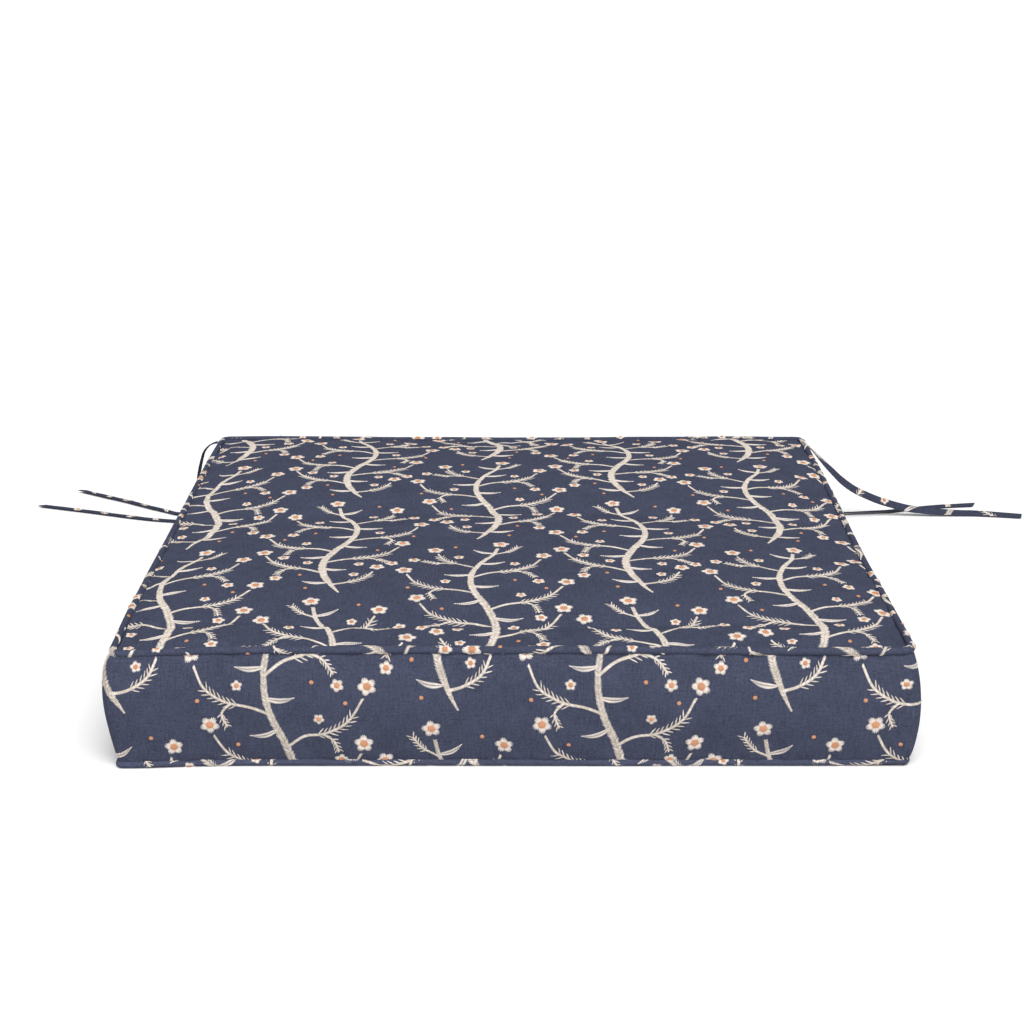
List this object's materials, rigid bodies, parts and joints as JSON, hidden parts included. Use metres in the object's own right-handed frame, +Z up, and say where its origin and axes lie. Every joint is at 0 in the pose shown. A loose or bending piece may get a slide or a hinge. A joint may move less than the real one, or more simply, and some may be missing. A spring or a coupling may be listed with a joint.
{
  "type": "chair cushion",
  "caption": "Square box-edge seat cushion with a soft crown, piped seams and flat fabric ties at its two back corners.",
  "frame": {"origin": "middle of the underside, on the surface that the cushion lies on", "axes": "+Z up out of the top panel, +Y to the back edge with the ties, +X to the right seen from the front"},
  "size_m": [0.8871, 0.6128, 0.088],
  "materials": {
    "cover_cloth": "navy slub-woven linen look, matt, with raised cream and beige embroidery",
    "piping_cloth": "the cover cloth cut on the bias and wrapped round a cord",
    "tie_cloth": "the cover cloth folded into flat stitched strips",
    "thread_beige": "beige embroidery yarn of the stems, matt with a soft lustre",
    "thread_cream": "cream embroidery yarn of leaves, petals and twigs, matt with a soft lustre",
    "thread_terracotta": "terracotta embroidery yarn of the flower hearts, matt with a soft lustre"
  },
  "bodies": {
    "root": {"cushion": "cover_cloth", "piping_top": "piping_cloth", "piping_bottom": "piping_cloth", "tie_right_a": "tie_cloth", "tie_right_b": "tie_cloth", "tie_left_a": "tie_cloth", "tie_left_b": "tie_cloth"}
  },
  "joints": []
}
